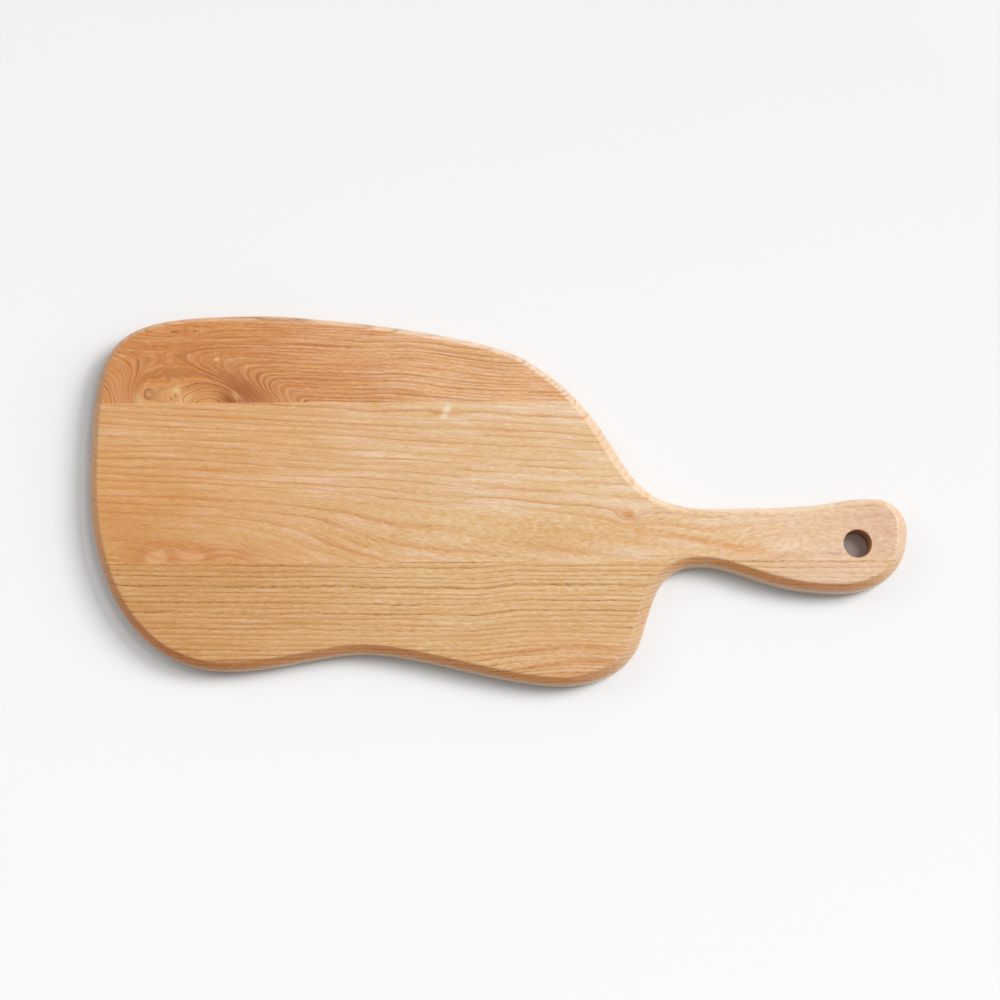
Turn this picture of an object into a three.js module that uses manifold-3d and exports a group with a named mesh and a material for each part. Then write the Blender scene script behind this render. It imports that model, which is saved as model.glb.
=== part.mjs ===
// Paddle serving board: a panel of three edge-glued staves, cut to a paddle with a bevelled upper edge.
// Millimetres, +Z up. +X runs along the board toward the handle's end, +Y toward its back edge.
// The origin is on the underside, at the middle of the board's length and width.
import * as THREE from 'three';
import Module from 'manifold-3d';
import { mergeVertices } from 'three/addons/utils/BufferGeometryUtils.js';

// The panel: what it is glued up from
const bladeLength = 417;
const handleLength = 142;
const boardThickness = 19;
const backStaveWidth = 63;
const middleStaveWidth = 111;
const frontStaveWidth = 84;
const glueThickness = 0.15;

// The neck and the handle's swollen head
const neckWidth = 39.2;
const neckStrip = 2.8; // the neck's front edge lies this far past the front glue line
const neckSkew = 10.5; // the back hollow lies this much nearer the handle's end than the front one
const headBackSwell = 6.3;
const headFrontSwell = 19;
const headBackReach = 25.5; // from the handle's end to where the head is widest
const headFrontReach = 48.5;
const tipDrop = 21.5; // from the head's back edge down to the foremost point of the handle

// The blade's edges
const shoulderReach = 117.5; // from the neck back to the middle of the shoulder's bend
const shoulderFall = 32.5;
const crownReach = 117; // from the blade's end to where the back edge is highest
const bladeEndFall = 112.5; // from the back edge down to the blade's outermost point
const heelReach = 96; // from the blade's end to the low point of its front corner
const heelRise = 11;
const waistRise = 22.3; // depth of the hollow in the front edge
const lobeReach = 95; // from the neck back to the low point of the front lobe

// The worked edge: a bevel above, widest round the handle's end, and a small easing below
const backBevel = 4.4;
const frontBevel = 5.4;
const bladeEndBevel = 5.2;
const tipBevel = 7.2;
const bevelPitch = 1; // fall of the bevel over its width
const arrisRound = 2.4; // how far the rounding runs each way from the bevel's outer edge
const undersideEase = 1.2;

// The hanging hole
const holeDiameter = 19;
const holeSetback = 35.3; // from the handle's end to the hole's centre
const holeWeb = 1.5; // wood left between the hole and the front glue line

// Fineness of the faceted surface
const stepsPerCurve = 14;
const holeSides = 48;
const cutOvershoot = 10;
const planeTolerance = 0.001;

// Places that follow from the sizes
const boardLength = bladeLength + handleLength;
const boardWidth = backStaveWidth + middleStaveWidth + frontStaveWidth;
const handleEndX = boardLength / 2;
const bladeEndX = -boardLength / 2;
const neckX = handleEndX - handleLength;
const backEdgeY = boardWidth / 2;
const frontEdgeY = -boardWidth / 2;
const backGlueY = backEdgeY - backStaveWidth;
const frontGlueY = frontEdgeY + frontStaveWidth;
const neckFrontY = frontGlueY - neckStrip;
const neckBackY = neckFrontY + neckWidth;
const headBackY = neckBackY + headBackSwell;
const headFrontY = neckFrontY - headFrontSwell;
const heelX = bladeEndX + heelReach;
const lobeX = neckX - lobeReach;
const waistX = THREE.MathUtils.lerp(heelX, lobeX, 0.406);
const lobeSideX = THREE.MathUtils.lerp(lobeX, neckX, 0.564);
const lobeSideY = THREE.MathUtils.lerp(frontEdgeY, neckFrontY, 0.372);

// Stations of the outline, anticlockwise from the handle's end. The edge runs through each one along its
// heading, in degrees; arrive and leave are the reach of the curve's handles, as shares of the chord there.
const stations = [
  { x: handleEndX, y: headBackY - tipDrop, heading: 90, arrive: 0.15, leave: 0.15 },
  { x: handleEndX - headBackReach, y: headBackY, heading: 180, arrive: 0.68, leave: 0.27 },
  { x: neckX + neckSkew, y: neckBackY, heading: 180, arrive: 0.85, leave: 0.47 },
  { x: neckX - shoulderReach, y: backEdgeY - shoulderFall, heading: 148, arrive: 0.565, leave: 0.205 },
  { x: bladeEndX + crownReach, y: backEdgeY, heading: 180, arrive: 0.15, leave: 0.67 },
  { x: bladeEndX, y: backEdgeY - bladeEndFall, heading: 270, arrive: 0.63, leave: 0.435 },
  { x: heelX, y: frontEdgeY + heelRise, heading: 0, arrive: 0.385, leave: 0.37 },
  { x: waistX, y: frontEdgeY + waistRise, heading: 0, arrive: 0.3, leave: 0.275 },
  { x: lobeX, y: frontEdgeY, heading: 0, arrive: 0.3, leave: 0.2 },
  { x: lobeSideX, y: lobeSideY, heading: 70.5, arrive: 0.47, leave: 0.425 },
  { x: neckX, y: neckFrontY, heading: 0, arrive: 0.455, leave: 0.26 },
  { x: handleEndX - headFrontReach, y: headFrontY, heading: 0, arrive: 0.51, leave: 0.7 },
];

// Points along the outline with the outward direction of the edge at each one
function outlinePoints() {
  const points = [];
  stations.forEach((from, index) => {
    const to = stations[(index + 1) % stations.length];
    const start = new THREE.Vector2(from.x, from.y);
    const end = new THREE.Vector2(to.x, to.y);
    const chord = start.distanceTo(end);
    const leaving = new THREE.Vector2(chord * from.leave, 0);
    const arriving = new THREE.Vector2(-chord * to.arrive, 0);
    leaving.rotateAround(new THREE.Vector2(), THREE.MathUtils.degToRad(from.heading));
    arriving.rotateAround(new THREE.Vector2(), THREE.MathUtils.degToRad(to.heading));
    const curve = new THREE.CubicBezierCurve(start, leaving.add(start), arriving.add(end), end);
    for (let step = 0; step < stepsPerCurve; step += 1) {
      const point = curve.getPoint(step / stepsPerCurve);
      const tangent = curve.getTangent(step / stepsPerCurve);
      points.push({ x: point.x, y: point.y, outX: tangent.y, outY: -tangent.x });
    }
  });
  return points;
}

// The bevel changes smoothly from the long sides to the two ends
function bevelWidth({ outX, outY }) {
  const sideBevel = outY > 0 ? backBevel : frontBevel;
  const endBevel = outX > 0 ? tipBevel : bladeEndBevel;
  return THREE.MathUtils.lerp(sideBevel, endBevel, outX ** 4);
}

// Section of the edge from the underside to the flat top: inset from the outline, and height
function edgeSection(point) {
  const width = bevelWidth(point);
  const fall = width * bevelPitch;
  const arrisZ = boardThickness - fall;
  const slope = Math.hypot(width, fall);
  const roundInset = (arrisRound * width) / slope;
  const roundRise = (arrisRound * fall) / slope;
  return [
    { inset: undersideEase, z: 0 },
    { inset: 0, z: undersideEase },
    { inset: 0, z: arrisZ - arrisRound },
    { inset: roundInset / 4, z: arrisZ + (roundRise - arrisRound) / 4 },
    { inset: roundInset, z: arrisZ + roundRise },
    { inset: width, z: boardThickness },
  ];
}

// The whole board before it is drilled: rings of points joined up the edge and closed by two flat faces
function boardGeometry() {
  const outline = outlinePoints();
  const count = outline.length;
  const sections = outline.map((point) => edgeSection(point));
  const ringCount = sections[0].length;
  const positions = [];
  const triangles = [];
  for (let ring = 0; ring < ringCount; ring += 1) {
    outline.forEach((point, index) => {
      const { inset, z } = sections[index][ring];
      positions.push(point.x - point.outX * inset, point.y - point.outY * inset, z);
    });
  }
  for (let ring = 0; ring < ringCount - 1; ring += 1) {
    for (let index = 0; index < count; index += 1) {
      const low = ring * count + index;
      const lowNext = ring * count + ((index + 1) % count);
      triangles.push(low, lowNext, lowNext + count);
      triangles.push(low, lowNext + count, low + count);
    }
  }
  const ringOutline = (ring) => outline.map((point, index) => {
    const at = 3 * (ring * count + index);
    return new THREE.Vector2(positions[at], positions[at + 1]);
  });
  const topStart = (ringCount - 1) * count;
  THREE.ShapeUtils.triangulateShape(ringOutline(0), []).forEach(([a, b, c]) => {
    triangles.push(a, c, b);
  });
  THREE.ShapeUtils.triangulateShape(ringOutline(ringCount - 1), []).forEach(([a, b, c]) => {
    triangles.push(topStart + a, topStart + b, topStart + c);
  });
  const geometry = new THREE.BufferGeometry();
  geometry.setAttribute('position', new THREE.Float32BufferAttribute(positions, 3));
  geometry.setIndex(triangles);
  return geometry;
}

// A drill through the head, clear of the front glue line by the web
function holeGeometry() {
  const radius = holeDiameter / 2;
  const drill = new THREE.CylinderGeometry(radius, radius, boardThickness + 2 * cutOvershoot, holeSides);
  drill.rotateX(Math.PI / 2);
  drill.translate(handleEndX - holeSetback, frontGlueY + holeWeb + radius, boardThickness / 2);
  return drill;
}

// A slab that holds everything between two heights across the board
function slabGeometry(fromY, toY) {
  const length = boardLength + 2 * cutOvershoot;
  const slab = new THREE.BoxGeometry(length, toY - fromY, boardThickness + 2 * cutOvershoot);
  slab.translate(0, (fromY + toY) / 2, boardThickness / 2);
  return slab;
}

const wasm = await Module();
wasm.setup();

function toSolid(geometry) {
  geometry.deleteAttribute('normal');
  geometry.deleteAttribute('uv');
  const merged = mergeVertices(geometry);
  const vertProperties = new Float32Array(merged.attributes.position.array);
  const triVerts = new Uint32Array(merged.index.array);
  return new wasm.Manifold(new wasm.Mesh({ numProp: 3, vertProperties, triVerts }));
}

// Points of a sawn face are set exactly on its plane, so that two pieces meet there face to face
function toGeometry(solid, sawnPlanes) {
  const mesh = solid.getMesh();
  const positions = mesh.vertProperties;
  for (let at = 1; at < positions.length; at += 3) {
    const plane = sawnPlanes.find((planeY) => Math.abs(positions[at] - planeY) < planeTolerance);
    positions[at] = plane ?? positions[at];
  }
  const geometry = new THREE.BufferGeometry();
  geometry.setAttribute('position', new THREE.Float32BufferAttribute(positions, 3));
  geometry.setIndex(new THREE.Uint32BufferAttribute(mesh.triVerts, 1));
  geometry.computeVertexNormals();
  return geometry;
}

const drilledBoard = toSolid(boardGeometry()).subtract(toSolid(holeGeometry()));
const group = new THREE.Group();

// Each piece is the part of the board that lies between two planes along its length
function addPiece(name, fromY, toY, look) {
  const solid = drilledBoard.intersect(toSolid(slabGeometry(fromY, toY)));
  const piece = new THREE.Mesh(toGeometry(solid, [fromY, toY]), new THREE.MeshStandardMaterial(look));
  piece.name = name;
  group.add(piece);
}

const halfGlue = glueThickness / 2;
const backLimitY = backEdgeY + cutOvershoot;
const frontLimitY = frontEdgeY - cutOvershoot;
const glueLook = { color: 0xd9ad73, roughness: 0.45, metalness: 0 };

addPiece('back_stave', backGlueY + halfGlue, backLimitY, { color: 0xd39867, roughness: 0.5, metalness: 0 });
addPiece('back_glue_line', backGlueY - halfGlue, backGlueY + halfGlue, glueLook);
addPiece('middle_stave', frontGlueY + halfGlue, backGlueY - halfGlue, {
  color: 0xdfb68c,
  roughness: 0.5,
  metalness: 0,
});
addPiece('front_glue_line', frontGlueY - halfGlue, frontGlueY + halfGlue, glueLook);
addPiece('front_stave', frontLimitY, frontGlueY - halfGlue, {
  color: 0xddac78,
  roughness: 0.5,
  metalness: 0,
});

export default group;
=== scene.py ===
import math

import bmesh
import bpy
from mathutils import Matrix, Vector


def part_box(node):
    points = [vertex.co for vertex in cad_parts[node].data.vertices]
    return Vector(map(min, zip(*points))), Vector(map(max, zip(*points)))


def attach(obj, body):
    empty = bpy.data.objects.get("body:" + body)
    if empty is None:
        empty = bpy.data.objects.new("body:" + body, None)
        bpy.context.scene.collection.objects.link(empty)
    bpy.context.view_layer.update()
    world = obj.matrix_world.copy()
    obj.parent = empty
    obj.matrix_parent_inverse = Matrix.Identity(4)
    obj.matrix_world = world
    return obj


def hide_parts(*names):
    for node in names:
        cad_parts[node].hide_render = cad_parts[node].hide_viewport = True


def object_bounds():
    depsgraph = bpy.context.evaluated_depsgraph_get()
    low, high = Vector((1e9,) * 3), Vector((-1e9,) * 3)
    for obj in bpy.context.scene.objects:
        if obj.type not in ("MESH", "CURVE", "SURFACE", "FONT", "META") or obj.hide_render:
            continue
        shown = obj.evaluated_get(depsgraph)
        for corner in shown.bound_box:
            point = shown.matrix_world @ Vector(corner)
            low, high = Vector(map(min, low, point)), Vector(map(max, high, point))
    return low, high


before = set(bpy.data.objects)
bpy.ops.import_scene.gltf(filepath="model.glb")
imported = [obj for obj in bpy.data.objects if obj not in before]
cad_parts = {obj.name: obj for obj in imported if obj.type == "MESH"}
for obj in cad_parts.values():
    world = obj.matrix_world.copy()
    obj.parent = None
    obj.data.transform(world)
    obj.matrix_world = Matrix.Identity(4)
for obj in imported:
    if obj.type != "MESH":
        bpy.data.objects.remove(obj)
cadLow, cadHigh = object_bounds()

# Paddle serving board: three ash staves edge-glued, cut to a paddle, bevelled, sanded and oiled.
# The board's sizes and places are in millimetres and become metres where a mesh is made.
mm = 0.001
cutTolerance = 1e-7  # metres within which a point counts as lying on a saw cut
mixFrom, mixTo, mixResult = 6, 7, 2  # where a Mix node keeps its two colours and their mix
fallOff = math.exp(-1)  # to the power of a distance squared, falls smoothly from 1 to 0
noiseMiddle = 0.5  # the mean of a noise


def linear(hexColour):  # sRGB hex to linear RGBA
    channels = [int(hexColour[i:i + 2], 16) / 255 for i in (1, 3, 5)]
    return [c / 12.92 if c <= 0.04045 else ((c + 0.055) / 1.055) ** 2.4 for c in channels] + [1.0]


def addNode(tree, kind, feeds=None, **settings):  # a feed is a node (its first output), a socket or a value
    node = tree.nodes.new("ShaderNode" + kind)
    for name, value in settings.items():
        setattr(node, name, value)
    for socket, value in (feeds or {}).items():
        if isinstance(value, bpy.types.Node):
            value = value.outputs[0]
        if isinstance(value, bpy.types.NodeSocket):
            tree.links.new(value, node.inputs[socket])
        else:
            node.inputs[socket].default_value = value
    return node


def newMaterial(name):
    material = bpy.data.materials.new(name)
    material.use_nodes = True
    material.node_tree.nodes.clear()
    return material, material.node_tree


# The outline's stations, read off the board as lengths from its ends, edges and glue lines
paddle = {
    "handleLength": 142, "neckWidth": 39.2, "neckStrip": 2.8, "neckSkew": 10.5, "tipDrop": 21.5,
    "headBackSwell": 6.3, "headFrontSwell": 19, "headBackReach": 25.5, "headFrontReach": 48.5,
    "shoulderReach": 117.5, "shoulderFall": 32.5, "crownReach": 117, "bladeEndFall": 112.5,
    "heelReach": 96, "heelRise": 11, "waistRise": 22.3, "waistShare": 0.406,
    "lobeReach": 95, "lobeSideShare": (0.564, 0.372), "stepsPerCurve": 44,
}
edge = {
    "backBevel": 4.4, "frontBevel": 5.4, "bladeEndBevel": 5.2, "tipBevel": 7.2, "bevelPitch": 1.0,
    "endTakeOver": 4,  # the higher, the later a side's bevel turns into an end's
    "arrisRound": 2.4, "undersideEase": 1.2, "bevelCrest": 0.9, "roundSteps": 6, "crestSteps": 4,
    "sandingWander": 0.16,  # how far the sander let the bevel's width drift
    "wanderWaves": ((7, 0.6, 1.0), (17, 2.1, 0.6)),  # waves round the outline, their start and height
    "lowEdgeLight": 0.3, "wallEdgeLight": 1.0, "edgeLightFade": 0.9,  # painted bounce light: palest on the wall, less on the eased underside edge, fading up the arris
}
hangingHole = {"diameter": 19, "setback": 35.3, "web": 1.5, "rimEase": 0.45, "rimSteps": 4, "sides": 96}

bladeEndX, handleEndX = cadLow.x / mm, cadHigh.x / mm
frontEdgeY, backEdgeY = cadLow.y / mm, cadHigh.y / mm
thickness = cadHigh.z / mm
frontGlue = [corner.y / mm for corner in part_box("front_glue_line")]
backGlue = [corner.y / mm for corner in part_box("back_glue_line")]


def outlineStations():
    p = paddle
    neckX = handleEndX - p["handleLength"]
    neckFrontY = sum(frontGlue) / 2 - p["neckStrip"]
    neckBackY = neckFrontY + p["neckWidth"]
    headBackY = neckBackY + p["headBackSwell"]
    heelX = bladeEndX + p["heelReach"]
    lobeX = neckX - p["lobeReach"]
    waistX = heelX + (lobeX - heelX) * p["waistShare"]
    sideX, sideY = p["lobeSideShare"]
    # x, y, heading in degrees, then how far the curve's handles reach back and on, in chords
    return [
        (handleEndX, headBackY - p["tipDrop"], 90, 0.15, 0.15),
        (handleEndX - p["headBackReach"], headBackY, 180, 0.68, 0.27),
        (neckX + p["neckSkew"], neckBackY, 180, 0.85, 0.47),
        (neckX - p["shoulderReach"], backEdgeY - p["shoulderFall"], 148, 0.565, 0.205),
        (bladeEndX + p["crownReach"], backEdgeY, 180, 0.15, 0.67),
        (bladeEndX, backEdgeY - p["bladeEndFall"], 270, 0.63, 0.435),
        (heelX, frontEdgeY + p["heelRise"], 0, 0.385, 0.37),
        (waistX, frontEdgeY + p["waistRise"], 0, 0.3, 0.275),
        (lobeX, frontEdgeY, 0, 0.3, 0.2),
        (lobeX + (neckX - lobeX) * sideX, frontEdgeY + (neckFrontY - frontEdgeY) * sideY, 70.5, 0.47, 0.425),
        (neckX, neckFrontY, 0, 0.455, 0.26),
        (handleEndX - p["headFrontReach"], neckFrontY - p["headFrontSwell"], 0, 0.51, 0.7),
    ]


def outlinePoints():  # each point with the outward direction of the edge there
    stations = outlineStations()
    points = []
    for index, (x, y, heading, _, leave) in enumerate(stations):
        nextX, nextY, nextHeading, arrive, _ = stations[(index + 1) % len(stations)]
        start, end = Vector((x, y)), Vector((nextX, nextY))
        chord = (end - start).length
        leaving = Vector((math.cos(math.radians(heading)), math.sin(math.radians(heading))))
        arriving = Vector((math.cos(math.radians(nextHeading)), math.sin(math.radians(nextHeading))))
        a, b = start + leaving * chord * leave, end - arriving * chord * arrive
        for step in range(paddle["stepsPerCurve"]):
            t = step / paddle["stepsPerCurve"]
            u = 1 - t
            point = start * u ** 3 + a * (3 * u * u * t) + b * (3 * u * t * t) + end * t ** 3
            tangent = ((a - start) * (u * u) + (b - a) * (2 * u * t) + (end - b) * (t * t)).normalized()
            points.append((point, Vector((tangent.y, -tangent.x))))
    return points


def roundOver(before, corner, after, steps):  # from one flat to the next, round the corner between them
    shares = [step / steps for step in range(steps + 1)]
    return [before * (1 - t) ** 2 + corner * (2 * t * (1 - t)) + after * t * t for t in shares]


def edgeSection(out, along):  # inset, height and painted edge light up the edge, from the underside to the serving face
    side = edge["backBevel"] if out.y > 0 else edge["frontBevel"]
    end = edge["tipBevel"] if out.x > 0 else edge["bladeEndBevel"]
    turns = 2 * math.pi * along
    drift = sum(height * math.sin(turns * waves + start) for waves, start, height in edge["wanderWaves"])
    width = side + (end - side) * out.x ** edge["endTakeOver"] + edge["sandingWander"] * drift
    ease, soft, crest = edge["undersideEase"], edge["arrisRound"], edge["bevelCrest"]
    arris = Vector((0, thickness - width * edge["bevelPitch"]))
    top = Vector((width, thickness))
    upBevel = (top - arris).normalized()
    steps = edge["roundSteps"]
    lowRound = roundOver(Vector((ease, 0)), Vector((0, 0)), Vector((0, ease)), steps)
    arrisRound = roundOver(arris - Vector((0, soft)), arris, arris + upBevel * soft, steps)
    topRound = roundOver(top - upBevel * crest, top, top + Vector((crest, 0)), edge["crestSteps"])
    wall = (lowRound[-1] + arrisRound[0]) / 2
    bevel = (arrisRound[-1] + topRound[0]) / 2
    section = [(*lowRound[0], 0.0)]  # the underside and the serving face get no painted edge light
    section += [(*p, edge["lowEdgeLight"]) for p in lowRound[1:]] + [(*wall, edge["wallEdgeLight"])]
    section += [(*p, edge["wallEdgeLight"] - edge["edgeLightFade"] * i / steps) for i, p in enumerate(arrisRound)]
    section += [(*p, 0.0) for p in [bevel] + topRound]
    return section


def addRing(bm, places, bored=0.0):  # places are x, y, z and the painted edge light there
    layers = bm.verts.layers.float
    # each point's share of the painted edge light
    edgeLightAmount = layers.get("paintedEdgeLight") or layers.new("paintedEdgeLight")
    drilled = layers.get("boredFibres") or layers.new("boredFibres")
    ring = []
    for x, y, z, amount in places:
        vert = bm.verts.new((x * mm, y * mm, z * mm))
        vert[edgeLightAmount], vert[drilled] = amount, bored
        ring.append(vert)
    return ring


def joinRings(bm, rings):
    for low, high in zip(rings, rings[1:]):
        for i in range(len(low)):
            j = (i + 1) % len(low)
            bm.faces.new((low[i], low[j], high[j], high[i])).smooth = True


def boardBlank():  # the whole drilled board, before it is parted at its glue lines
    bm = bmesh.new()
    points = outlinePoints()
    sections = [edgeSection(out, i / len(points)) for i, (_, out) in enumerate(points)]
    rings = []
    for level in range(len(sections[0])):
        places = []
        for (point, out), section in zip(points, sections):
            inset, z, edgeLightAmount = section[level]
            places.append((point.x - out.x * inset, point.y - out.y * inset, z, edgeLightAmount))
        rings.append(addRing(bm, places))
    joinRings(bm, rings)

    radius, ease, steps = hangingHole["diameter"] / 2, hangingHole["rimEase"], hangingHole["rimSteps"]
    centreX = handleEndX - hangingHole["setback"]
    centreY = sum(frontGlue) / 2 + hangingHole["web"] + radius
    bore = roundOver(Vector((ease, thickness)), Vector((0, thickness)), Vector((0, thickness - ease)), steps)
    bore.append(Vector((0, thickness / 2)))
    bore += roundOver(Vector((0, ease)), Vector((0, 0)), Vector((ease, 0)), steps)
    angles = [2 * math.pi * i / hangingHole["sides"] for i in range(hangingHole["sides"])]
    boreRings = []
    for level, (flare, z) in enumerate(bore):
        reach = radius + flare
        places = [(centreX + reach * math.cos(a), centreY + reach * math.sin(a), z, 0.0) for a in angles]
        onFace = level in (0, len(bore) - 1)
        boreRings.append(addRing(bm, places, 0.0 if onFace else 1.0))
    joinRings(bm, boreRings)

    for outer, inner in ((rings[-1], boreRings[0]), (rings[0], boreRings[-1])):
        borders = []
        for ring in (outer, inner):
            borders += [bm.edges.get((ring[i], ring[(i + 1) % len(ring)])) for i in range(len(ring))]
        bmesh.ops.triangle_fill(bm, edges=borders, use_beauty=True)
        for border in borders:
            border.smooth = False
    bmesh.ops.recalc_face_normals(bm, faces=bm.faces)
    return bm


def partBetween(bm, fromY, toY):  # keeps what lies between two saw cuts and closes the sawn faces
    for cutY, side in ((fromY, -1), (toY, 1)):
        if cutY is None:
            continue
        everything = bm.verts[:] + bm.edges[:] + bm.faces[:]
        bmesh.ops.bisect_plane(bm, geom=everything, plane_co=Vector((0, cutY * mm, 0)),
                               plane_no=Vector((0, side, 0)), clear_outer=True, dist=cutTolerance)
        rim = [e for e in bm.edges if e.is_boundary]
        bmesh.ops.holes_fill(bm, edges=rim)
        for e in rim:
            e.smooth = False
    bmesh.ops.recalc_face_normals(bm, faces=bm.faces)


boardPieces = bpy.data.collections.new("board_pieces")  # what the flagged lights reach


def addPiece(settings, material):
    bm = boardBlank()
    partBetween(bm, *settings["between"])
    mesh = bpy.data.meshes.new(settings["name"])
    bm.to_mesh(mesh)
    bm.free()
    mesh.materials.append(material)
    piece = bpy.data.objects.new(settings["name"], mesh)
    bpy.context.scene.collection.objects.link(piece)
    boardPieces.objects.link(piece)
    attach(piece, "root")
    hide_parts(settings["node"])
    print("made", settings["name"], len(mesh.vertices), "points,", len(mesh.polygons), "faces")


# What the three staves share. A cell is the size of one streak along, across and through the grain,
# and each pattern is its cell, detail and roughness. In a sum, 1 is the factor and 2 what is added.
ash = {
    "fibre": ((4.6, 0.65, 0.65), 2.0, 0.6),  # bundles, drawn about twice as coarse so that they show
    "strand": ((34, 1.5, 1.5), 3.0, 0.6), "patch": ((120, 30, 30), 2.0, 0.5),
    "shake": ((22, 3.0, 3.0), 3.0, 0.5), "fade": ((60, 5, 9), 2.0, 0.5),
    "waveDetail": (0.8, 0.5), "curlDetail": (1.0, 0.5),  # where a stave or spot has its own cell
    "streakDetail": (3.0, 0.58), "poreDetail": (1.0, 0.4),
    "yearsPerSwell": 3.1, "swellDetail": 2.0, "shakeYears": 0.6,  # how the years' widths swell and shake
    "springStops": [  # how dark the wood is through one year
        (0.0, 0.4), (0.06, 1.0), (0.16, 0.95), (0.34, 0.4), (0.58, 0.08), (0.9, 0.03), (1.0, 0.2)],
    "fadeRange": {"From Min": 0.3, "From Max": 0.62, "To Min": 0.25, "To Max": 1.2}, "boldestLine": 1.1,
    "lineBreaks": {1: 2.6, 2: -0.3}, "poreSoftness": 0.07, "vesselShare": {1: 1.2, 2: 0.05},
    "paleRange": {"From Min": 0.47, "From Max": 0.74},
    "strandRange": {"From Min": 0.54, "From Max": 0.28, "To Max": 0.7},
    "feather": 1.2, "spotDepth": 60,  # how torn a tint's border is, and how deep a spot goes
    "endsCount": 0.4, "shadedBevelFacing": {"From Min": -0.7, "From Max": -0.3},  # which way the bevels with painted shade face
    "bevelShare": 0.75, "endShare": 0.4, "boredShare": 0.9, "edgeLightShare": 0.4,
    # the drilled wall's colour, and the pale colour of the painted bounce light on walls and arrises
    "bored": "#c98345", "edgeLightColour": "#eedfcd",
    "oilTone": 0.595, "warmth": {1: -0.8, 2: 1.4},  # the oil darkens, and dark fibres glow warmer
    "satin": {1: 0.12, 2: 0.28}, "poreRoughness": 0.2, "edgeLightRoughness": -0.05,
    "poreRelief": -1.0, "lineRelief": -0.25, "reliefStrength": 0.3, "reliefDepth": 0.12,
    "ior": 1.5, "specular": 0.5,
}


def spotShare(tree, point, spot):  # 1 in the middle of a spot, falling away smoothly to 0
    placed = addNode(tree, "Mapping", {
        "Vector": point, "Location": (*spot["at"], thickness),
        "Rotation": (0, 0, math.radians(spot.get("turn", 0))),
        "Scale": (*spot["size"], ash["spotDepth"])}, vector_type="TEXTURE")
    square = addNode(tree, "VectorMath", {0: placed, 1: placed}, operation="DOT_PRODUCT")
    return addNode(tree, "Math", {0: fallOff, 1: square.outputs["Value"]}, operation="POWER")


def grainNoise(tree, place, cell, detail, roughness):  # place is along the board or along the grain
    joined = addNode(tree, "CombineXYZ", dict(enumerate(place)))
    scaled = addNode(tree, "VectorMath", {0: joined, 1: cell}, operation="DIVIDE")
    return addNode(tree, "TexNoise", {
        "Vector": scaled, "Scale": 1.0, "Detail": detail, "Roughness": roughness}).outputs["Fac"]


def growthRings(tree, wood, point, board):  # distance across the rings: the years are its level lines
    x, y, z = board
    wave = grainNoise(tree, board, wood["waveCell"], *ash["waveDetail"])
    rings = addNode(tree, "Math", {0: wave, 1: 2 * wood["waveHeight"], 2: y}, operation="MULTIPLY_ADD")
    rings = addNode(tree, "Math", {0: x, 1: wood["slope"], 2: rings}, operation="MULTIPLY_ADD")
    rings = addNode(tree, "Math", {0: z, 1: wood["lean"], 2: rings}, operation="MULTIPLY_ADD")
    for spot in wood["figure"]:
        rise = spotShare(tree, point, spot)
        if "curl" in spot:  # a cell: the fibres twist inside the spot instead of rounding it
            twist = grainNoise(tree, board, spot["curl"], *ash["curlDetail"])
            twist = addNode(tree, "Math", {0: twist, 1: noiseMiddle}, operation="SUBTRACT")
            rise = addNode(tree, "Math", {0: rise, 1: twist}, operation="MULTIPLY")
        rings = addNode(tree, "Math", {0: rise, 1: spot["rise"], 2: rings}, operation="MULTIPLY_ADD")
    for dip in wood["dips"]:  # lines that drop and run on lower, along a front that may slant
        off = addNode(tree, "Math", {0: y, 1: dip["y"]}, operation="SUBTRACT")
        slanted = addNode(tree, "Math", {0: off, 1: dip.get("slant", 0), 2: x}, operation="MULTIPLY_ADD")
        step = addNode(tree, "MapRange", {"Value": slanted, "From Min": dip["from"], "From Max": dip["to"]},
                       interpolation_type="SMOOTHSTEP")
        off = addNode(tree, "Math", {0: off, 1: dip["reach"]}, operation="DIVIDE")
        square = addNode(tree, "Math", {0: off, 1: off}, operation="MULTIPLY")
        near = addNode(tree, "Math", {0: fallOff, 1: square}, operation="POWER")
        rise = addNode(tree, "Math", {0: step, 1: near}, operation="MULTIPLY")
        rings = addNode(tree, "Math", {0: rise, 1: dip["rise"], 2: rings}, operation="MULTIPLY_ADD")
    return rings


def countYears(tree, wood, grain):  # years of uneven width, with a slight shake along each line
    rings = grain[1]
    swellWidth = wood["yearWidth"] * ash["yearsPerSwell"]
    swell = addNode(tree, "Math", {0: rings, 1: swellWidth}, operation="DIVIDE")
    uneven = addNode(tree, "TexNoise", {"W": swell, "Scale": 1.0, "Detail": ash["swellDetail"]},
                     noise_dimensions="1D")
    shake = grainNoise(tree, grain, *ash["shake"])
    years = addNode(tree, "Math", {0: rings, 1: wood["yearWidth"]}, operation="DIVIDE")
    years = addNode(tree, "Math", {0: uneven, 1: wood["unevenYears"], 2: years}, operation="MULTIPLY_ADD")
    years = addNode(tree, "Math", {0: shake, 1: ash["shakeYears"], 2: years}, operation="MULTIPLY_ADD")
    yearCount = addNode(tree, "Math", {0: years}, operation="FLOOR")
    yearPart = addNode(tree, "Math", {0: years}, operation="FRACT")
    yearChance = addNode(tree, "TexWhiteNoise", {"W": yearCount}, noise_dimensions="1D")
    return yearPart, yearChance


def springWood(tree, yearPart):  # starts sharply and fades into the summer wood
    spring = addNode(tree, "ValToRGB", {0: yearPart})
    ramp, stops = spring.color_ramp, ash["springStops"]
    ramp.interpolation = "EASE"
    while len(ramp.elements) < len(stops):
        ramp.elements.new(0.5)  # anywhere, as each gets its place below
    for element, (position, level) in zip(ramp.elements, stops):
        element.position = position
        element.color = (level, level, level, 1)
    return spring


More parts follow.
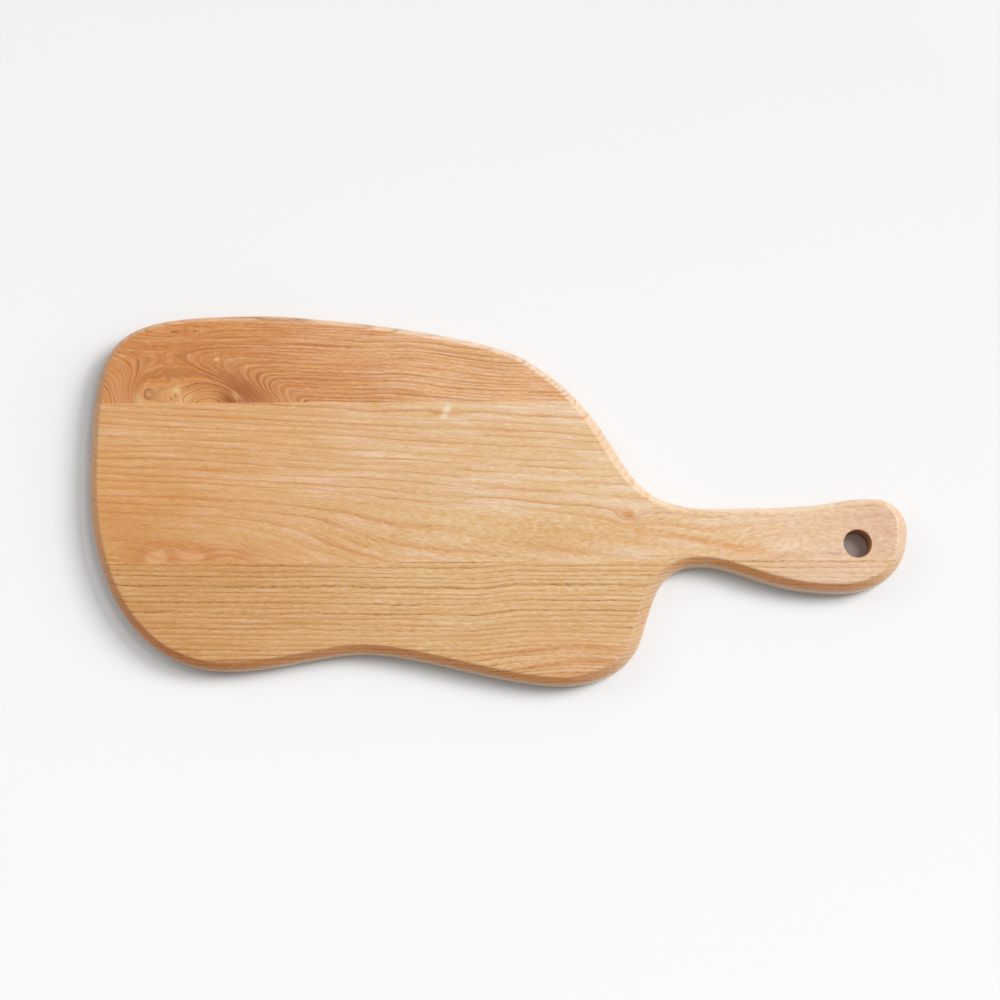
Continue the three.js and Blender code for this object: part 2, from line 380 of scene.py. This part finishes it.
# Some years draw a bold line and some a faint one, broken by the fibres
def springLine(tree, wood, point, grain, fibre, spring, yearChance):
    fade = addNode(tree, "MapRange", {"Value": grainNoise(tree, grain, *ash["fade"]), **ash["fadeRange"]})
    chance = addNode(tree, "MapRange", {
        "Value": yearChance, "To Min": wood["faintestLine"], "To Max": ash["boldestLine"]})
    strength = addNode(tree, "Math", {0: chance, 1: fade}, operation="MULTIPLY")
    broken = addNode(tree, "Math", {0: fibre, **ash["lineBreaks"]}, operation="MULTIPLY_ADD")
    strength = addNode(tree, "Math", {0: strength, 1: broken}, operation="MULTIPLY")
    for spot in wood["boldness"]:
        share = spotShare(tree, point, spot)
        bolder = addNode(tree, "Math", {0: share, 1: spot["depth"], 2: 1.0}, operation="MULTIPLY_ADD")
        strength = addNode(tree, "Math", {0: strength, 1: bolder}, operation="MULTIPLY")
    return addNode(tree, "Math", {0: spring, 1: strength}, operation="MULTIPLY", use_clamp=True)


# Open pores are about 0.3 mm wide; they are drawn near 0.6 mm so that they show from here
def openPores(tree, wood, grain, spring, yearChance):
    pore = grainNoise(tree, grain, wood["poreCell"], *ash["poreDetail"])
    pore = addNode(tree, "MapRange", {
        "Value": pore, "From Min": wood["poreEdge"], "From Max": wood["poreEdge"] + ash["poreSoftness"]},
        interpolation_type="SMOOTHSTEP")
    vessels = addNode(tree, "Math", {0: spring, 1: yearChance}, operation="MULTIPLY")
    vessels = addNode(tree, "Math", {0: vessels, **ash["vesselShare"]}, operation="MULTIPLY_ADD")
    return addNode(tree, "Math", {0: pore, 1: vessels}, operation="MULTIPLY", use_clamp=True)


# Oiled ash, planed and sanded: each year starts with a band of open pores, darker than the dense summer
# wood after it, which a flat cut draws out as long lines, flames and eyes. The oil leaves a low satin.
def oiledAsh(wood):
    material, tree = newMaterial(wood["finish"])
    place = addNode(tree, "TexCoord").outputs["Object"]
    point = addNode(tree, "VectorMath", {0: place, "Scale": 1 / mm}, operation="SCALE")
    x, y, z = addNode(tree, "SeparateXYZ", {0: point}).outputs
    rings = growthRings(tree, wood, point, (x, y, z))
    grain = (x, rings, z)
    yearPart, yearChance = countYears(tree, wood, grain)

    # Fibres run along the grain and bend with it; broader streaks and patches take the oil unevenly
    fibre = grainNoise(tree, grain, *ash["fibre"])
    strand = grainNoise(tree, grain, *ash["strand"])
    streak = grainNoise(tree, grain, wood["streakCell"], *ash["streakDetail"])
    patch = grainNoise(tree, (x, y, z), *ash["patch"])
    spring = springWood(tree, yearPart)
    line = springLine(tree, wood, point, grain, fibre, spring, yearChance)
    pore = openPores(tree, wood, grain, spring, yearChance)

    # How a face was cut: across the fibres at the ends, aslant on the bevels
    facing = addNode(tree, "NewGeometry").outputs["Normal"]
    faceX, faceY, faceZ = addNode(tree, "SeparateXYZ", {0: facing}).outputs
    endGrain = addNode(tree, "Math", {0: faceX, 1: faceX}, operation="MULTIPLY")
    flat = addNode(tree, "Math", {0: faceZ, 1: faceZ}, operation="MULTIPLY")
    steep = addNode(tree, "Math", {0: 1.0, 1: flat}, operation="SUBTRACT")
    bevelled = addNode(tree, "Math", {0: flat, 1: steep}, operation="MULTIPLY")  # a quarter at 45 degrees
    bevelled = addNode(tree, "Math", {0: bevelled, 1: 4.0}, operation="MULTIPLY", use_clamp=True)
    drilled = addNode(tree, "Attribute", attribute_name="boredFibres").outputs["Fac"]
    # where the painted bounce light lies: walls and arrises
    edgeLit = addNode(tree, "Attribute", attribute_name="paintedEdgeLight").outputs["Fac"]

    # Painted light on the bevels: those facing the front and the heel take a darker tone, painted shade, and
    # the others a paler one, painted sheen
    paintedShade, paintedSheen = wood["bevels"]
    turned = addNode(tree, "Math", {0: faceX, 1: ash["endsCount"], 2: faceY}, operation="MULTIPLY_ADD")
    turned = addNode(tree, "MapRange", {"Value": turned, **ash["shadedBevelFacing"]})
    paintedBevelLight = addNode(tree, "Mix", {0: turned, mixFrom: linear(paintedShade), mixTo: linear(paintedSheen)},
                        data_type="RGBA")

    # Colour, laid from the broadest change to the finest, then what the cut and the drill did to it, and the
    # painted light on the bevels and walls
    layers = [
        (linear(wood["pale"]), addNode(tree, "MapRange", {"Value": streak, **ash["paleRange"]})),
        (linear(wood["strand"]), addNode(tree, "MapRange", {"Value": strand, **ash["strandRange"]})),
    ]
    for tint in wood["tints"]:
        share = spotShare(tree, point, tint)
        feather = tint.get("feather", ash["feather"])
        torn = addNode(tree, "Math", {0: streak, 1: feather, 2: 1 - feather / 2}, operation="MULTIPLY_ADD")
        share = addNode(tree, "Math", {0: share, 1: torn}, operation="MULTIPLY")
        share = addNode(tree, "Math", {0: share, 1: tint["depth"]}, operation="MULTIPLY", use_clamp=True)
        layers.append((linear(tint["colour"]), share))
    for layer, where, depth in (
            (paintedBevelLight.outputs[mixResult], bevelled, ash["bevelShare"]),
            (linear(wood["spring"]), line, wood["springDepth"]),
            (linear(wood["poreColour"]), pore, wood["poreDepth"]),
            (linear(wood["endGrain"]), endGrain, ash["endShare"]),  # cut fibres drink more oil
            (linear(ash["bored"]), drilled, ash["boredShare"]),
            (linear(ash["edgeLightColour"]), edgeLit, ash["edgeLightShare"])):  # painted bounce light, paling the walls and arrises
        layers.append((layer, addNode(tree, "Math", {0: where, 1: depth}, operation="MULTIPLY")))
    colour = linear(wood["summer"])
    for layer, share in layers:
        mixed = addNode(tree, "Mix", {0: share, mixFrom: colour, mixTo: layer}, data_type="RGBA")
        colour = mixed.outputs[mixResult]
    contrast = ash["oilTone"] * wood["fibreDepth"]
    shade = addNode(tree, "Math", {0: fibre, 1: contrast, 2: ash["oilTone"] - contrast / 2},
                    operation="MULTIPLY_ADD")
    richness = addNode(tree, "Math", {0: fibre, **ash["warmth"]}, operation="MULTIPLY_ADD")
    shaded = addNode(tree, "HueSaturation", {"Saturation": richness, "Value": shade, "Color": colour})

    # Towards the blade's end the colour is multiplied by a warmer, darker tan than at the handle, in patches
    warmFrom, warmTo = wood["warm"]
    warm = addNode(tree, "MapRange", {"Value": x, "From Min": warmTo, "From Max": warmFrom},
                   interpolation_type="SMOOTHSTEP")
    warm = addNode(tree, "Math", {0: patch, 1: warm}, operation="ADD")
    warm = addNode(tree, "Math", {0: warm, 1: noiseMiddle}, operation="SUBTRACT", use_clamp=True)
    tone = addNode(tree, "Mix", {0: warm, mixFrom: linear("#ffffff"), mixTo: linear(wood["tan"])},
                   data_type="RGBA")
    shaded = addNode(tree, "VectorMath", {0: shaded, 1: tone.outputs[mixResult]}, operation="MULTIPLY")

    # Pores are duller and lie deeper than the oiled fibres, and the wood under the painted edge light is
    # smoother
    roughness = addNode(tree, "Math", {0: fibre, **ash["satin"]}, operation="MULTIPLY_ADD")
    for where, change in ((pore, ash["poreRoughness"]), (edgeLit, ash["edgeLightRoughness"])):
        roughness = addNode(tree, "Math", {0: where, 1: change, 2: roughness}, operation="MULTIPLY_ADD")
    relief = fibre
    for where, change in ((pore, ash["poreRelief"]), (line, ash["lineRelief"])):
        relief = addNode(tree, "Math", {0: where, 1: change, 2: relief}, operation="MULTIPLY_ADD")
    bump = addNode(tree, "Bump", {
        "Height": relief, "Strength": ash["reliefStrength"], "Distance": ash["reliefDepth"] * mm})
    shader = addNode(tree, "BsdfPrincipled", {
        "Base Color": shaded, "Roughness": roughness, "Normal": bump, "IOR": ash["ior"],
        "Specular IOR Level": ash["specular"]})
    addNode(tree, "OutputMaterial", {"Surface": shader})
    return material


# Each stave's own wood, placed on the serving face: "figure" lifts the rings into eyes and flames, "dips"
# fold them, "boldness" strengthens or weakens the lines, and "tints" colour the wood under them
# A stave's two bevel colours are painted shade for the bevels facing the front and heel, and painted sheen
# for the others
backStave = {
    "name": "back_stave_wood", "node": "back_stave", "slot": "back_stave_ash",
    "between": (backGlue[1], None), "finish": "reddish_ash_planed_and_oiled",
    "summer": "#ebb681", "pale": "#eec7a3", "strand": "#d08b53", "spring": "#a25c2c",
    "tan": "#efd2b1", "bevels": ("#d8925a", "#e6d0b8"), "endGrain": "#b37243", "fibreDepth": 0.55,
    "springDepth": 0.62, "faintestLine": 0.35, "streakCell": (48, 2.4, 2.4), "warm": (-225, -10),
    "poreColour": "#8c5731", "poreDepth": 0.5, "poreCell": (5, 0.6, 0.6), "poreEdge": 0.57,
    "waveCell": (60, 18, 24), "waveHeight": 2.2, "slope": 0.03, "lean": 0.8,
    "yearWidth": 2.8, "unevenYears": 1.5,
    "figure": [
        {"at": (-199, 62), "size": (14, 9), "rise": 24},  # eye of the burl, against the glue line
        {"at": (-223, 71), "size": (13, 12), "rise": 11, "curl": (6, 13, 13)},
        {"at": (-192.6, 96.5), "size": (2.6, 2.0), "rise": 3},  # pin knot
        {"at": (-219, 115.8), "size": (20, 3), "rise": 5},
    ],
    "dips": [
        # lines fold down at the burl
        {"from": -122, "to": -178, "slant": 1.5, "y": 64, "reach": 27, "rise": 46},
        {"from": -240, "to": -275, "y": 70, "reach": 20, "rise": -30},
        {"from": -70, "to": 10, "y": 90, "reach": 40, "rise": 6},
    ],
    "boldness": [
        {"at": (-235, 100), "size": (40, 14), "depth": -0.6},
        {"at": (-195, 72), "size": (60, 20), "depth": 0.7},
    ],
    "tints": [
        {"at": (-174, 74), "size": (22, 10), "turn": -38, "colour": "#a45d2e", "depth": 0.6},
        {"at": (-193.5, 96.8), "size": (2.2, 1.3), "colour": "#fde7be", "depth": 1.0},
        {"at": (-226, 71), "size": (20, 7), "colour": "#f0c793", "depth": 0.7, "feather": 2.4},
        {"at": (-200, 68), "size": (10, 5), "colour": "#f3cd98", "depth": 0.8, "feather": 2.0},
        {"at": (-185, 68), "size": (8, 4), "turn": -30, "colour": "#8a4a22", "depth": 0.7},
        # pale flecks in the burl
        {"at": (-221, 75), "size": (2.5, 5), "turn": -25, "colour": "#fff0c8", "depth": 0.8, "feather": 2.0},
        {"at": (-214, 69), "size": (5, 2.5), "turn": 35, "colour": "#fff0c8", "depth": 0.8, "feather": 2.0},
        {"at": (-247, 68), "size": (2.5, 5), "turn": 25, "colour": "#fff0c8", "depth": 0.8, "feather": 2.0},
        {"at": (-180, 71), "size": (1.5, 3.5), "turn": 40, "colour": "#fff0c8", "depth": 0.7,
         "feather": 2.0},
    ],
}
addPiece(backStave, oiledAsh(backStave))

middleStave = {
    "name": "middle_stave_wood", "node": "middle_stave", "slot": "middle_stave_ash",
    "between": (frontGlue[1], backGlue[0]), "finish": "pale_ash_planed_and_oiled",
    "summer": "#ebc89c", "pale": "#f6dcc6", "strand": "#e4b47c", "spring": "#d18b45",
    "tan": "#f2d6b0", "bevels": ("#d89254", "#e7cfb4"), "endGrain": "#be8554", "fibreDepth": 0.42,
    "springDepth": 0.6, "faintestLine": 0.3, "streakCell": (45, 4.2, 4.2), "warm": (-280, 60),
    "poreColour": "#a9713c", "poreDepth": 0.3, "poreCell": (5, 0.6, 0.6), "poreEdge": 0.58,
    "waveCell": (100, 22, 26), "waveHeight": 3.0, "slope": 0.055, "lean": 0.9,
    "yearWidth": 4.8, "unevenYears": 1.8,
    "figure": [
        {"at": (-232, -42), "size": (13, 7), "rise": 6},
        {"at": (-207, -42), "size": (15, 8), "rise": 7},
        {"at": (88.5, -13.5), "size": (7, 4), "rise": 7},  # bud knot
        {"at": (-36, 59), "size": (6, 4), "rise": 1.5},
    ],
    "dips": [
        {"from": -200, "to": -60, "y": -58, "reach": 40, "rise": 30},
        {"from": 105, "to": 290, "y": -25, "reach": 60, "rise": -12},
    ],
    "boldness": [
        {"at": (220, -25), "size": (95, 60), "depth": -0.7},  # the handle is nearly plain
        {"at": (5, -30), "size": (45, 12), "depth": -0.6},
        {"at": (-255, -22), "size": (35, 12), "depth": -0.6},
    ],
    "tints": [
        {"at": (-250, -25), "size": (45, 20), "colour": "#d49a55", "depth": 0.42},
        {"at": (-233, -42), "size": (14, 9), "colour": "#cc8640", "depth": 0.8},  # borders of two islands
        {"at": (-207, -42), "size": (16, 9), "colour": "#cc8640", "depth": 0.8},
        {"at": (-232, -41.5), "size": (7, 4.4), "colour": "#f0c8a8", "depth": 2.0, "feather": 0.6},
        {"at": (-208.5, -41), "size": (8, 5), "colour": "#f0c8a8", "depth": 2.0, "feather": 0.6},
        {"at": (-169, -39), "size": (17, 7), "colour": "#dfae82", "depth": 0.6},
        {"at": (30, -28), "size": (85, 18), "colour": "#e0b277", "depth": 0.75},
        {"at": (-84, -13), "size": (60, 24), "colour": "#e2b478", "depth": 0.4},
        {"at": (235, -25), "size": (80, 60), "colour": "#e6c1a3", "depth": 0.6},  # the handle is rosier
        {"at": (262, -25), "size": (28, 26), "colour": "#d6ac8a", "depth": 0.75},
        {"at": (136, -31), "size": (46, 2.2), "turn": -10.5, "colour": "#dd9f5c", "depth": 0.75},
        {"at": (165, -38), "size": (20, 4), "turn": -4, "colour": "#e2a769", "depth": 0.6},
        {"at": (88.5, -13.5), "size": (6, 3), "turn": -20, "colour": "#d4904b", "depth": 0.8},
        # a pale fleck by the back glue line
        {"at": (-35.6, 59), "size": (4.4, 2.0), "turn": 60, "colour": "#fff2d8", "depth": 1.5,
         "feather": 0.8},
        {"at": (-42, 58), "size": (6, 2.4), "turn": 12, "colour": "#dba263", "depth": 0.7},
        {"at": (-28, 52.5), "size": (12, 2), "turn": -14, "colour": "#f6e2c6", "depth": 0.6},
    ],
}
addPiece(middleStave, oiledAsh(middleStave))

frontStave = {
    "name": "front_stave_wood", "node": "front_stave", "slot": "front_stave_ash",
    "between": (None, frontGlue[0]), "finish": "porous_ash_planed_and_oiled",
    "summer": "#e6bb86", "pale": "#eac89b", "strand": "#d9a460", "spring": "#bd7a38",
    "tan": "#f1e0ca", "bevels": ("#df8a3e", "#e9c6a0"), "endGrain": "#b4773b", "fibreDepth": 0.52,
    "springDepth": 0.68, "faintestLine": 0.65, "streakCell": (48, 2.4, 2.4), "warm": (-240, 0),
    "poreColour": "#6b4926", "poreDepth": 0.7, "poreCell": (5, 0.5, 0.5), "poreEdge": 0.545,
    "waveCell": (80, 18, 22), "waveHeight": 1.3, "slope": 0.015, "lean": 0.7,
    "yearWidth": 3.6, "unevenYears": 1.2,
    "figure": [
        {"at": (52, -134), "size": (52, 26), "rise": -16},  # flame in the front lobe
    ],
    "dips": [
        {"from": -20, "to": 20, "y": -70, "reach": 40, "rise": -4},
    ],
    "boldness": [
        {"at": (230, -58), "size": (80, 25), "depth": -0.5},
        {"at": (50, -114), "size": (50, 17), "depth": -0.65},
    ],
    "tints": [
        {"at": (45, -112), "size": (40, 16), "colour": "#ecbb8e", "depth": 0.6},
        # soft flame lines
        {"at": (23, -106), "size": (26, 1.7), "turn": 6, "colour": "#d08a45", "depth": 0.75},
        {"at": (63, -103.5), "size": (20, 1.7), "turn": -5, "colour": "#d08a45", "depth": 0.75},
        {"at": (28, -116.5), "size": (24, 1.8), "turn": 7, "colour": "#d08a45", "depth": 0.8},
        {"at": (64, -113.3), "size": (16, 1.8), "turn": -3, "colour": "#d08a45", "depth": 0.8},
        {"at": (52, -121.5), "size": (24, 1.4), "turn": 3, "colour": "#d6934f", "depth": 0.7},
        {"at": (230, -58), "size": (70, 20), "colour": "#e6c1a2", "depth": 0.85},
    ],
}
addPiece(frontStave, oiledAsh(frontStave))

backFilm = {"name": "back_glue_film", "node": "back_glue_line", "slot": "wood_glue", "between": backGlue}
frontFilm = {"name": "front_glue_film", "node": "front_glue_line", "slot": "wood_glue", "between": frontGlue}
glueFilm = {
    "dark": "#a9763f", "pale": "#e3bd86", "patchSize": 6, "patchDetail": 3.0,
    "satin": {"To Min": 0.3, "To Max": 0.5}, "reliefStrength": 0.2, "reliefDepth": 0.05, "ior": 1.5,
}


# Cured wood glue, planed flush and oiled over: a patchy amber hairline, about as satin as the wood
def curedGlue():
    material, tree = newMaterial("cured_wood_glue_planed_flush")
    place = addNode(tree, "TexCoord").outputs["Object"]
    patchy = addNode(tree, "TexNoise", {
        "Vector": place, "Scale": 1 / (glueFilm["patchSize"] * mm), "Detail": glueFilm["patchDetail"]})
    tint = addNode(tree, "Mix", {
        0: patchy, mixFrom: linear(glueFilm["dark"]), mixTo: linear(glueFilm["pale"])}, data_type="RGBA")
    roughness = addNode(tree, "MapRange", {"Value": patchy, **glueFilm["satin"]})
    bump = addNode(tree, "Bump", {
        "Height": patchy, "Strength": glueFilm["reliefStrength"], "Distance": glueFilm["reliefDepth"] * mm})
    shader = addNode(tree, "BsdfPrincipled", {
        "Base Color": tint.outputs[mixResult], "Roughness": roughness, "Normal": bump,
        "IOR": glueFilm["ior"]})
    addNode(tree, "OutputMaterial", {"Surface": shader})
    return material


glue = curedGlue()
addPiece(backFilm, glue)
addPiece(frontFilm, glue)

paper = {  # in metres
    "half": 9.0, "near": "#f7f7f7", "far": "#dddddd",
    "paintedShadeGrade": (0.68, 0.73, 0), "fade": {"From Min": -0.465, "From Max": 0.465},  # the way the painted shade greys it, and where
    "mottleSize": 1 / 3, "mottleDetail": 2.0, "mottleShift": 0.04, "roughness": 0.9, "specular": 0.1,
}


# White studio paper: matt, with the faintest mottle, and painted shade that greys it a little towards the
# lamps, evening out their falloff
def paperFloor():
    material, tree = newMaterial("white_studio_paper")
    place = addNode(tree, "TexCoord").outputs["Object"]
    away = addNode(tree, "VectorMath", {0: place, 1: paper["paintedShadeGrade"]}, operation="DOT_PRODUCT")
    mottle = addNode(tree, "TexNoise", {
        "Vector": place, "Scale": 1 / paper["mottleSize"], "Detail": paper["mottleDetail"]})
    uneven = addNode(tree, "Math", {0: mottle, 1: paper["mottleShift"], 2: away.outputs["Value"]},
                     operation="MULTIPLY_ADD")
    fade = addNode(tree, "MapRange", {"Value": uneven, **paper["fade"]})
    tint = addNode(tree, "Mix", {0: fade, mixFrom: linear(paper["near"]), mixTo: linear(paper["far"])},
                   data_type="RGBA")
    shader = addNode(tree, "BsdfPrincipled", {
        "Base Color": tint.outputs[mixResult], "Roughness": paper["roughness"],
        "Specular IOR Level": paper["specular"]})
    addNode(tree, "OutputMaterial", {"Surface": shader})
    half = paper["half"]
    corners = [(-half, -half, 0), (half, -half, 0), (half, half, 0), (-half, half, 0)]
    mesh = bpy.data.meshes.new("studio_floor")
    mesh.from_pydata(corners, [], [(0, 1, 2, 3)])
    mesh.materials.append(material)
    floor = bpy.data.objects.new("studio_floor", mesh)
    bpy.context.scene.collection.objects.link(floor)


paperFloor()
print("paper laid")

camera = {
    "target": (1.4, -2.7), "elevation": 79.7, "roll": -0.3, "distance": 1509.4,
    "focalPixels": 2214, "pictureWidth": 1000, "sensor": 36, "clip": (0.05, 60),  # clip in metres
}


def viewCamera():
    data = bpy.data.cameras.new("view_camera")
    data.sensor_width = camera["sensor"]
    data.lens = camera["sensor"] * camera["focalPixels"] / camera["pictureWidth"]
    data.clip_start, data.clip_end = camera["clip"]
    view = bpy.data.objects.new("view_camera", data)
    bpy.context.scene.collection.objects.link(view)
    tilt = math.radians(camera["elevation"])
    back = Vector((0, -math.cos(tilt), math.sin(tilt)))
    target = Vector((*camera["target"], thickness)) * mm
    right = Matrix.Rotation(math.radians(camera["roll"]), 3, back) @ Vector((1, 0, 0))
    turned = Matrix((right, back.cross(right), back)).transposed()
    view.matrix_world = Matrix.Translation(target + back * camera["distance"] * mm) @ turned.to_4x4()
    bpy.context.scene.camera = view


viewCamera()
print("camera set")

# Direction from the board, distance and size in metres, share of the light on a flat face
softboxes = [
    {"name": "main_softbox", "toward": (1.08, 0.47, 1.0), "distance": 4.5, "size": (1.7, 1.7),
     "share": 0.49},
    {"name": "high_softbox", "toward": (0.42, 0.2, 1.0), "distance": 8.0, "size": (2.0, 2.0),
     "share": 0.15},
    {"name": "right_softbox", "toward": (2.2, 0.4, 1.0), "distance": 8.0, "size": (3.0, 3.0),
     "share": 0.08, "glare": False},
    {"name": "left_softbox", "toward": (-1.1, 0.6, 1.0), "distance": 8.0, "size": (4.0, 4.0),
     "share": 0.07},
]
edgeLights = [  # flagged: they reach the board alone and leave no glare on it
    {"name": "left_edge_light", "toward": (-1.1, 0.6, 1.0), "distance": 8.0, "size": (4.0, 4.0),
     "share": 0.28},
    {"name": "back_edge_light", "toward": (0.25, 1.2, 0.6), "distance": 6.0, "size": (6.0, 2.2),
     "share": 0.18},
    {"name": "front_edge_light", "toward": (0.2, -1.5, 0.35), "distance": 6.0, "size": (6.0, 2.0),
     "share": 0.045},
    {"name": "right_edge_light", "toward": (3.0, 0.4, 0.6), "distance": 8.0, "size": (4.0, 2.0),
     "share": 0.08},
]
room = {"colour": "#ffffff", "strength": 0.38}


def addLight(box, flagged):
    data = bpy.data.lights.new(box["name"], "AREA")
    data.shape = "RECTANGLE"
    data.size, data.size_y = box["size"]
    light = bpy.data.objects.new(box["name"], data)
    bpy.context.scene.collection.objects.link(light)
    direction = Vector(box["toward"]).normalized()
    data.energy = box["share"] * (math.pi * box["distance"]) ** 2 / direction.z  # watts for that share
    light.location = direction * box["distance"]
    light.rotation_mode = "QUATERNION"
    light.rotation_quaternion = direction.to_track_quat("Z", "Y")
    light.visible_camera = False
    light.visible_glossy = box.get("glare", not flagged)
    if flagged:
        light.light_linking.receiver_collection = boardPieces
        data.cycles.max_bounces = 0  # nor does the wood throw it on to the paper


def studioLight():
    for box in softboxes:
        addLight(box, False)
    for box in edgeLights:
        addLight(box, True)
    world = bpy.data.worlds.new("studio_room")
    world.use_nodes = True
    background = world.node_tree.nodes["Background"]
    background.inputs["Color"].default_value = linear(room["colour"])
    background.inputs["Strength"].default_value = room["strength"]
    bpy.context.scene.world = world
    bpy.context.scene.view_settings.view_transform = "Standard"


studioLight()
print("lights set")
